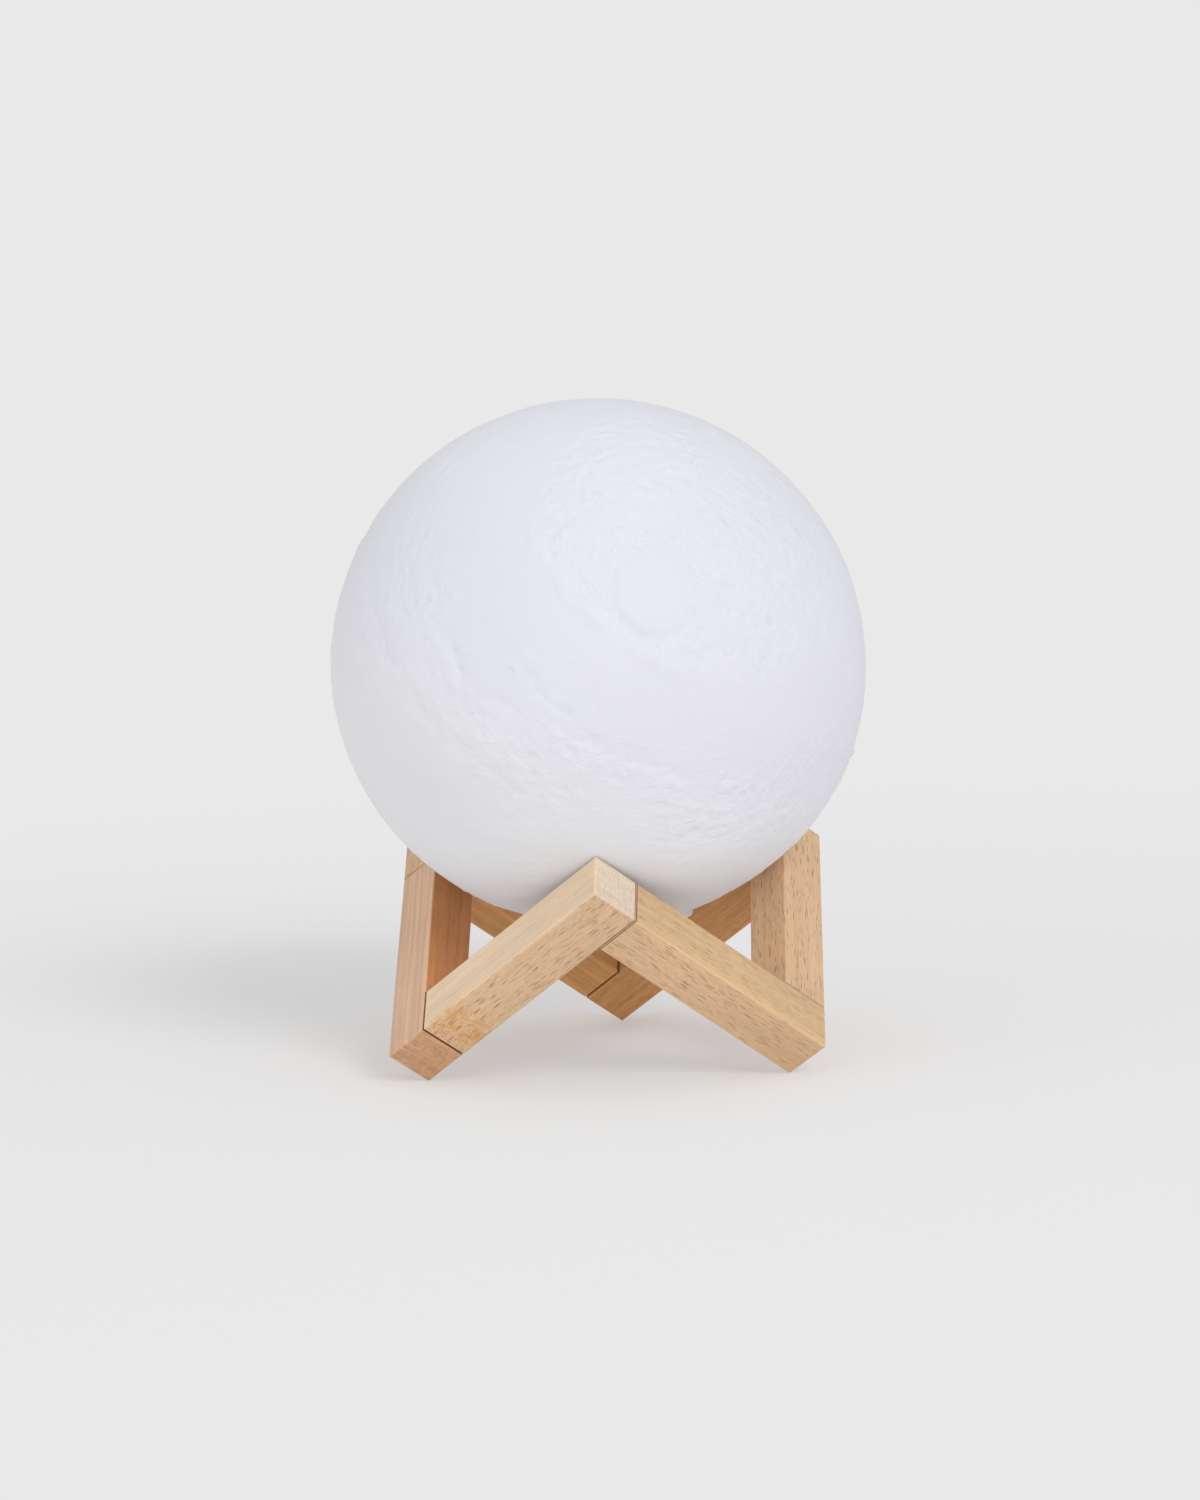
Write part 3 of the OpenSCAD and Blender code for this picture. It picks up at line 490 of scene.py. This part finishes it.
def printed_white():
    """Matt white print with a cool tint, fine scribbled ground, grain and level print lines, with painted
    light on the top and bottom and painted shade in low ground.
    """
    f = Finish("printed_moon_white")
    mm = f.in_mm((0, 0, BALL_CENTRE_Z * MM))
    x, y, z = f.parts(mm)
    rough = f.stored("rough_ground")
    relief = f.stored("ground_height")
    cool, plain, low = seen(228, 228, 237), seen(234, 235, 238), seen(240, 243, 250)
    # Cooler towards the upper right.
    tone = f.blend(f.step((x * 0.6 + z) / BALL_R, -0.95, 0.1), plain, cool)
    # Painted light: a lighter, bluer tone towards the bottom, which lifts the bottom and offsets the warm
    # light bounced up from the wood.
    tone = f.blend(f.step(z / BALL_R, -0.3, -0.85), tone, low)
    cloud = f.noise(mm, 0.05, 3.0, 0.6) - 0.5
    grain = f.noise(mm, 1.6, 2.0, 0.6) - 0.5

    out, across, along = beside_basin(f, f.vector("NORMALIZE", mm))
    scribble = f.noise(f.joined(across * 11.0, along * 11.0, out * 0.7), 1.0, 2.0, 0.5, 4.0, 0.6) - 0.5
    scribble = scribble * f.step(out, *DRAWN_OUT_REACH)
    pitted = f.noise(mm, 0.4, 2.0, 0.5, 6.0, 0.4) - 0.5
    fine = 0.2 - f.math("ABSOLUTE", scribble) * 1.3 + pitted * 1.2

    # Painted light: the top of the ball is lighter, by up to 4 per cent.
    shade = 0.972 + f.step(z / BALL_R, 0.45, 1.0) * 0.04 + cloud * 0.02 + grain * 0.012
    # Painted shade: low ground is darker and high ground lighter, by its height; rough ground is painted
    # lighter to offset the shade of its bumps.
    shade = shade + relief * 0.03 + rough * 0.02
    f.give(Base_Color=f.scaled(tone, shade), Roughness=0.62 + grain * 0.08, Specular_IOR_Level=0.3)
    layers = f.math("SINE", (z + cloud * 0.5) * (2 * math.pi / PRINT_LAYER))
    streaks = f.noise(f.joined(x, y, z * 5.0), 0.35, 4.0, 0.65) - 0.5
    f.bump(fine * rough * 2.4 + streaks * 0.9 + layers * 0.06 + grain * 0.25, 0.12)
    return f.material


# ---- The stand ----

# The edges of a cube that stands on one corner, which the bars follow.
CUBE_X = Vector((-math.sqrt(1 / 2), -math.sqrt(1 / 6), math.sqrt(1 / 3)))
CUBE_Y = Vector((math.sqrt(1 / 2), -math.sqrt(1 / 6), math.sqrt(1 / 3)))
CUBE_Z = Vector((0, math.sqrt(2 / 3), math.sqrt(1 / 3)))

# One bar. third: which third of the ring it lies in. rising: whether it climbs from its start.
# ring_turn: turn of the growth rings in degrees. tones: on the y sides, the z sides and the ends, partly the
# wood's own colour and partly painted light and shade.
# dashes: share of the rays on the y sides and the z sides. waviness: bend of the rings.
# figure: strength of the long stripes. joint: strength of the painted shade line at its start, in the gap
# between bars.
# warm: strength of a curly patch near its start.
Bar = namedtuple("Bar", "node third rising ring_turn tones dashes waviness figure joint warm")
BARS = (
    Bar("front_left_bar", 0, True, 86, ((231, 204, 172), (224, 190, 153), (224, 205, 182)), (0.16, 1.0),
        waviness=0.0, figure=1.0, joint=1.2, warm=1.2),
    Bar("front_right_bar", 0, False, 20, ((220, 184, 146), (214, 179, 136), (222, 188, 152)), (0.9, 0.7),
        waviness=1.0, figure=0.9, joint=1.8, warm=0.0),
    Bar("right_bar", 1, True, 172, ((216, 179, 141), (238, 196, 152), (226, 194, 158)), (1.0, 1.0),
        waviness=0.0, figure=0.9, joint=1.1, warm=0.0),
    Bar("back_right_bar", 1, False, 20, ((208, 153, 100), (214, 158, 103), (214, 176, 136)), (0.6, 0.6),
        waviness=3.0, figure=1.6, joint=1.0, warm=0.0),
    Bar("back_left_bar", 2, True, 75, ((219, 164, 105), (216, 159, 98), (211, 174, 138)), (0.5, 0.5),
        waviness=7.0, figure=1.8, joint=0.75, warm=0.0),
    Bar("left_bar", 2, False, 4, ((204, 140, 87), (216, 178, 146), (206, 162, 124)), (0.3, 0.12),
        waviness=0.5, figure=1.8, joint=0.3, warm=0.0),
)

# What a bar's own colour is multiplied by in a ray, in the painted shade of a joint and in the curly patch.
RAY_TONE = (0.42, 0.28, 0.19)
JOINT_SHADE_TONE = (0.18, 0.10, 0.06)
CURLY_TONE = (0.95, 0.76, 0.50, 1.0)
WHITE = (1.0, 1.0, 1.0, 1.0)


def bar_axes(bar):
    """A bar's own axes: along its grain, towards the side where the next bar butts, and the third."""
    spin = Matrix.Rotation(math.radians(120 * bar.third), 3, "Z")
    axes = (CUBE_Y, -CUBE_X, CUBE_Z) if bar.rising else (-CUBE_X, CUBE_Z, CUBE_Y)
    return [spin @ axis for axis in axes]


def beech(bar, next_joint, seed):
    """Planed beech: growth rings, fibres along the bar, and rays that show as short dark dashes.

    next_joint is the strength of the painted shade line where the next bar butts."""
    f = Finish("beech_" + bar.node)
    low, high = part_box(bar.node)
    mm = f.in_mm((low + high) / 2, Matrix(bar_axes(bar)).transposed().to_euler())
    x, y, z = f.parts(mm)
    c, s = math.cos(math.radians(bar.ring_turn)), math.sin(math.radians(bar.ring_turn))
    bend = f.noise(f.joined(x * 0.02, y * 0.06, z * 0.06), 1.0, 2.0, 0.5, seed) - 0.5
    drift = bend * (3.0 + bar.waviness)
    radial = y * c + z * s + drift
    around = z * c - y * s + drift * 0.4

    fibres = f.noise(f.joined(x * 0.035, radial, around), 3.0, 3.0, 0.6, seed + 1.0) - 0.5
    fine_fibres = f.noise(f.joined(x * 0.12, radial, around), 8.0, 2.0, 0.6, seed + 2.0) - 0.5
    streaks = f.noise(f.joined(x * 0.012, radial * 0.5, around * 0.5), 1.4, 3.0, 0.6, seed + 7.0) - 0.5
    bands = f.noise(f.joined(x * 0.004, radial * 0.55, around * 0.03), 1.0, 2.0, 0.55, seed + 3.0) - 0.5
    patches = f.noise(mm, 0.035, 2.0, 0.5, seed + 4.0) - 0.5
    end_rays = f.noise(f.joined(radial * 0.3, around * 4.2, x * 0.1), 1.0, 2.0, 0.6, seed + 9.0) - 0.5
    end_rings = f.noise(f.joined(radial * 2.2, around * 0.15, x * 0.1), 1.0, 2.0, 0.6, seed + 10.0) - 0.5

    # Which side of the bar this is, and how far its edges are.
    half_l, half = (BAR_LENGTH - GLUE_LINE) / 2, BAR_SIDE / 2
    off_x = half_l - f.math("ABSOLUTE", x)
    off_y = half - f.math("ABSOLUTE", y)
    off_z = half - f.math("ABSOLUTE", z)
    nearest = f.math("MINIMUM", off_x, f.math("MINIMUM", off_y, off_z))
    farthest = f.math("MAXIMUM", off_x, f.math("MAXIMUM", off_y, off_z))
    edge_off = off_x + off_y + off_z - nearest - farthest
    arris = f.step(edge_off + fibres, 1.0, 0.1)
    on_y = f.math("LESS_THAN", off_y, off_z)
    across = on_y * (z - y) + y

    # Rays: dashes along the grain on every side, never quite in line with it.
    leaning = across + (f.noise(mm, 0.12, 1.0, 0.5, seed + 8.0) - 0.5) * 1.2
    near, chance = f.cells(f.joined(x / 6.2, leaning / 0.46, radial / 6.0), 1.0, seed + 5.0)
    rays = f.step(near, 0.33, 0.17) * f.step(f.parts(chance)[0], 0.0, 0.4)
    near, chance = f.cells(f.joined(x / 3.0, leaning / 0.36, radial / 5.0), 1.0, seed + 6.0)
    small_rays = f.step(near, 0.38, 0.2) * f.step(f.parts(chance)[1], 0.35, 0.8)
    end = f.math("LESS_THAN", off_x, f.math("MINIMUM", off_y, off_z))

    # Painted shade: dark hairlines where this bar butts on the one before, and where the next one butts on
    # it.
    foot = half_l - BAR_SIDE
    line = f.step(x + half_l, 0.15 + 0.22 * bar.joint, 0.05 + 0.14 * bar.joint)
    butt = line * (1.0 - end) * min(bar.joint, 1.0)
    footprint = f.step(f.math("ABSOLUTE", x - foot), 0.4, 0.1) * f.math("GREATER_THAN", y, half - 0.3)
    flush = f.step(half - y, 0.42, 0.1) * f.math("GREATER_THAN", x, foot)
    joint_shade_mask = f.math("MAXIMUM", butt, f.math("MAXIMUM", footprint, flush) * min(next_joint, 1.0))

    # The colour by side, partly painted light and shade for how the light falls on each side, with the curly
    # patch on the z side towards the front.
    y_tone, z_tone, end_tone = (seen(*tone) for tone in bar.tones)
    base = f.blend(end, f.blend(on_y, z_tone, y_tone), end_tone)
    curl = f.step(f.noise(mm, 0.22, 3.0, 0.6, seed + 12.0, 2.5), 0.42, 0.58)
    curly = f.bell(x + half_l - 8.0, 0.0, 6.0) * curl * f.step(z, -6.0, -7.0) * bar.warm
    base = f.vector("MULTIPLY", base, f.blend(curly, WHITE, CURLY_TONE))

    shade = 1.0 + (bands * 0.3 + streaks * 0.34) * bar.figure + fibres * 0.3 + fine_fibres * 0.34
    # Edges a little lighter: partly burnish, partly a painted highlight.
    shade = shade + patches * 0.22 + arris * 0.05
    shade = shade + end * (end_rays * 0.45 + end_rings * 0.36 * bar.figure)
    ray_tone = f.vector("MULTIPLY", base, RAY_TONE)
    on_y_sides, on_z_sides = bar.dashes
    share = on_y * (on_y_sides - on_z_sides) + on_z_sides
    amount = (rays * 0.82 + small_rays * 0.36) * share * (1.0 - arris * 0.7) * (1.0 - end * 0.75)
    wood = f.blend(f.math("MINIMUM", amount, 0.9), f.scaled(base, shade), ray_tone)
    # Painted shade in the joints between bars.
    colour = f.blend(joint_shade_mask * 0.85, wood, f.vector("MULTIPLY", base, JOINT_SHADE_TONE))
    f.give(Base_Color=colour, Roughness=0.52 + fibres * 0.16 + rays * 0.06, Specular_IOR_Level=0.35)
    f.bump(fine_fibres * 0.5 + fibres * 0.6 - amount * 0.7 - joint_shade_mask, 0.06)
    return f.material


def dress(node, material):
    """Gives a CAD node its material; its shape stays."""
    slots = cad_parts[node].data.materials
    slots.clear()
    slots.append(material)


def dress_stand():
    for place, bar in enumerate(BARS):
        next_joint = BARS[(place + 1) % len(BARS)].joint
        dress(bar.node, beech(bar, next_joint, seed=11.0 * place + 2.0))


# ---- The base and what is inside ----

def plain_finish(name, colour, roughness, mottle=0.06, grain_mm=0.6, bump_mm=0.01, metallic=0.0, **sockets):
    """A fine grained surface: moulded plastic, lacquer, foam or plated metal."""
    f = Finish(name)
    mm = f.in_mm()
    grain = f.noise(mm, 1 / grain_mm, 3.0, 0.6) - 0.5
    cloud = f.noise(mm, 0.12, 2.0, 0.5) - 0.5
    mottled = f.scaled(colour, 1.0 + cloud * mottle + grain * mottle)
    f.give(Base_Color=mottled, Roughness=roughness + grain * 0.12, Metallic=metallic, **sockets)
    f.bump(grain, bump_mm)
    return f.material


def turned_metal(name, colour, roughness):
    """Metal with the fine circular lines that turning leaves."""
    f = Finish(name)
    mm = f.in_mm()
    x, y, z = f.parts(mm)
    away = f.vector("LENGTH", f.joined(x, y, 0.0))
    around = f.math("ARCTAN2", y, x)
    lines = f.noise(f.joined(away * 6.0, around * 0.7, z * 6.0), 1.0, 3.0, 0.7) - 0.5
    cloud = f.noise(mm, 0.2, 2.0, 0.5) - 0.5
    f.give(Base_Color=f.scaled(colour, 1.0 + lines * 0.22 + cloud * 0.06), Roughness=roughness + lines * 0.2,
           Metallic=1.0)
    f.bump(lines, 0.02)
    return f.material


def circuit_lacquer(name, colour, line_colour, hole_colour):
    """Board lacquer with faint tracks, and small plated holes."""
    f = Finish(name)
    mm = f.in_mm()
    x, y, z = f.parts(mm)
    flat = f.joined(x, y, 0.0)
    track = f.cells(flat, 0.55, 2.0, feature="DISTANCE_TO_EDGE")[0]
    tracks = f.step(track, 0.10, 0.06) * 0.55
    hole, chance = f.cells(flat, 0.5, 6.0)
    holes = f.step(hole, 0.13, 0.10) * f.math("GREATER_THAN", f.parts(chance)[0], 0.55)
    grain = f.noise(mm, 1.4, 2.0, 0.5) - 0.5
    tone = f.blend(tracks, f.scaled(colour, 1.0 + grain * 0.12), line_colour)
    f.give(Base_Color=f.blend(holes, tone, hole_colour), Roughness=0.38 + grain * 0.1)
    f.bump(tracks * 0.5 - holes, 0.03)
    return f.material


def pouch_foil():
    """Brushed silver film of the cell, with faint creases."""
    f = Finish("pouch_foil")
    mm = f.in_mm()
    x, y, z = f.parts(mm)
    brushed = f.noise(f.joined(x * 0.1, y, z * 3.0), 2.0, 3.0, 0.6) - 0.5
    creases = f.noise(mm, 0.15, 3.0, 0.6, 3.0, 1.2) - 0.5
    f.give(Base_Color=f.scaled(seen(206, 210, 216), 1.0 + brushed * 0.1 + creases * 0.08),
           Roughness=0.34 + brushed * 0.16, Metallic=0.6)
    f.bump(creases + brushed * 0.1, 0.15)
    return f.material


def dress_base():
    moulded = plain_finish("moulded_white", seen(238, 238, 236), 0.46, 0.03, 0.5, 0.012)
    plated = plain_finish("plated_steel", seen(196, 197, 200), 0.3, 0.05, 0.8, 0.006, 1.0)
    package = plain_finish("moulded_package", seen(38, 38, 41), 0.5, 0.25, 0.3, 0.015)
    ceramic = plain_finish("ceramic_body", seen(196, 160, 112), 0.45, 0.14, 0.3, 0.01)
    green = circuit_lacquer("green_lacquer", seen(28, 98, 66), seen(44, 124, 84), seen(206, 178, 110))
    white = circuit_lacquer("white_lacquer", seen(238, 238, 234), seen(226, 226, 222), seen(206, 200, 186))
    phosphor = plain_finish("phosphor_resin", seen(244, 226, 132), 0.35, 0.10, 0.25, 0.01)
    finishes = {
        "joint_dowels": plain_finish("dowel_wood", seen(222, 186, 142), 0.6, 0.16, 0.5, 0.03),
        "lamp_housing": moulded, "base_cover": moulded, "power_button": moulded,
        "touch_ring": turned_metal("turned_ring", seen(214, 214, 216), 0.32),
        "touch_spring": plain_finish("spring_wire", seen(222, 190, 120), 0.28, 0.08, 0.3, 0.006, 1.0),
        "cover_screws": plated, "board_screws": plated, "light_screws": plated,
        "charge_socket": plated, "switch_plunger": plated,
        "control_board": green, "battery_board": green, "light_board": white,
        "socket_tongue": package, "button_switch": package, "control_chips": package,
        "board_resistors": package, "board_capacitors": ceramic,
        "power_inductor": plain_finish("ferrite", seen(58, 56, 58), 0.62, 0.3, 0.35, 0.03),
        "indicator_led": phosphor, "light_chip_set": phosphor,
        "light_pipe": plain_finish("clear_rod", seen(236, 240, 242), 0.12, 0.03, 0.8, 0.004,
                                   Transmission_Weight=0.75, IOR=1.49),
        "battery_cell": pouch_foil(),
        "battery_pad": plain_finish("black_foam", seen(40, 40, 42), 0.9, 0.5, 0.35, 0.12),
        "battery_leads": plain_finish("red_insulation", seen(196, 44, 38), 0.42, 0.1, 0.4, 0.01),
        "light_leads": plain_finish("black_insulation", seen(42, 42, 44), 0.42, 0.2, 0.4, 0.01),
    }
    for node, material in finishes.items():
        dress(node, material)


# ---- Floor, light and camera ----

BACKDROP = seen(233, 233, 233)
FLOOR = seen(243, 243, 243)
FLOOR_BOUNCE = seen(248, 247, 246)

# Sizes in metres: the floor, where it turns into the backdrop, and the middle and reach of the lamp's shadow.
FLOOR_R = 8.0
FLOOR_SIDES = 64
FLOOR_FADE = (0.12, 0.7)
SHADOW_MIDDLE = (-0.10, 0.13, 0.0)
SHADOW_REACH = 0.13

# Even light from all round, and the soft boxes: name, place in metres, width in metres, watts.
SKY_STRENGTH = 0.68
LIGHT_AIM = (0, 0, 0.08)
SOFT_BOXES = (
    ("key_box", (1.51, -2.42, 1.93), 1.5, 36.0),
    ("left_fill_box", (-3.4, -1.8, 2.0), 2.4, 9.5),
    ("low_fill_box", (-2.4, -3.2, 0.9), 2.0, 9.0),
)

# The photo's camera, fitted to the stand's corners and the moon's outline: turns in degrees, lengths in
# millimetres.
CAMERA_BEARING = 3.007
CAMERA_RISE = 6.316
CAMERA_ROLL = -1.821
CAMERA_DISTANCE = 1122.1
CAMERA_TARGET = (-1.06, 0, 88.77)
LENS_LENGTH = 94.63
SENSOR_WIDTH = 36.0


def make_floor():
    """Wide pale floor; far from the lamp it turns into the backdrop's colour."""
    mesh = bpy.data.meshes.new("floor")
    turns = [2 * math.pi * k / FLOOR_SIDES for k in range(FLOOR_SIDES)]
    ring = [(FLOOR_R * math.cos(turn), FLOOR_R * math.sin(turn), 0.0) for turn in turns]
    mesh.from_pydata(ring, [], [tuple(range(FLOOR_SIDES))])
    floor = bpy.data.objects.new("floor", mesh)
    bpy.context.scene.collection.objects.link(floor)
    f = Finish("pale_floor")
    grain = f.noise(f.in_mm(), 0.5, 2.0, 0.6) - 0.5
    shown = f.seen_directly()
    pale = f.blend(shown, FLOOR_BOUNCE, FLOOR)
    f.give(Base_Color=f.scaled(pale, 1.0 + grain * 0.01), Roughness=0.85, Specular_IOR_Level=0.1)
    f.bump(grain, 0.05)
    glow = f.put("ShaderNodeEmission", {"Color": BACKDROP, "Strength": 1.0})
    away = f.vector("LENGTH", f.place)
    # Less of the backdrop's glow where the lamp's shadow falls: painted shade that deepens that shadow.
    shade = f.bell(f.vector("DISTANCE", f.place, SHADOW_MIDDLE), 0.0, SHADOW_REACH)
    even = f.math("MAXIMUM", f.step(away, *FLOOR_FADE) * 0.55 + 0.45 - shade * 0.42, 0.0)
    mix = f.put("ShaderNodeMixShader", {0: shown * even, 1: f.surface.outputs[0], 2: glow.outputs[0]})
    f.join(f.out.inputs["Surface"], mix.outputs[0])
    mesh.materials.append(f.material)


def make_world():
    """Even light that the camera doesn't see: it sees the backdrop."""
    world = bpy.data.worlds.new("studio")
    bpy.context.scene.world = world
    world.use_nodes = True
    m = Maker(world.node_tree)
    world.node_tree.nodes.clear()
    shown = m.seen_directly()
    light = m.put("ShaderNodeBackground", {"Color": WHITE, "Strength": SKY_STRENGTH})
    backdrop = m.put("ShaderNodeBackground", {"Color": BACKDROP, "Strength": 1.0})
    mix = m.put("ShaderNodeMixShader", {0: shown, 1: light.outputs[0], 2: backdrop.outputs[0]})
    m.put("ShaderNodeOutputWorld", {"Surface": mix.outputs[0]})


def soft_box(name, place, width, watts):
    lamp = bpy.data.lights.new(name, "AREA")
    lamp.shape = "DISK"
    lamp.size = width
    lamp.energy = watts
    box = bpy.data.objects.new(name, lamp)
    bpy.context.scene.collection.objects.link(box)
    box.location = place
    box.rotation_euler = (Vector(LIGHT_AIM) - Vector(place)).to_track_quat("-Z", "Y").to_euler()


def make_light():
    make_world()
    for name, place, width, watts in SOFT_BOXES:
        soft_box(name, place, width, watts)


def make_camera():
    azimuth, elevation, roll = (math.radians(a) for a in (CAMERA_BEARING, CAMERA_RISE, CAMERA_ROLL))
    back = Vector((math.sin(azimuth) * math.cos(elevation), -math.cos(azimuth) * math.cos(elevation),
                   math.sin(elevation)))
    level = Vector((0, 0, 1)).cross(back).normalized()
    upright = back.cross(level)
    right = level * math.cos(roll) + upright * math.sin(roll)
    up = upright * math.cos(roll) - level * math.sin(roll)
    data = bpy.data.cameras.new("camera")
    data.lens = LENS_LENGTH
    data.sensor_width = SENSOR_WIDTH
    data.clip_start = 0.05
    data.clip_end = 50.0
    camera = bpy.data.objects.new("camera", data)
    bpy.context.scene.collection.objects.link(camera)
    turned = Matrix((right, up, back)).transposed().to_4x4()
    turned.translation = Vector(CAMERA_TARGET) * MM + back * (CAMERA_DISTANCE * MM)
    camera.matrix_world = turned
    bpy.context.scene.camera = camera


# ---- The lamp ----

relief_tree = moon_relief_tree(printed_white())
moon_blank = lathe("moon_blank", moon_profile(), MOON_COLUMNS, FRONT_CROWDING)
moon = made_by_nodes("moon", moon_blank, relief_tree, RELIEF_SIZES)
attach(moon, "moon")
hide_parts("moon_shell")

dress_stand()
dress_base()
make_floor()
make_light()
make_camera()
bpy.context.scene.view_settings.view_transform = "Standard"
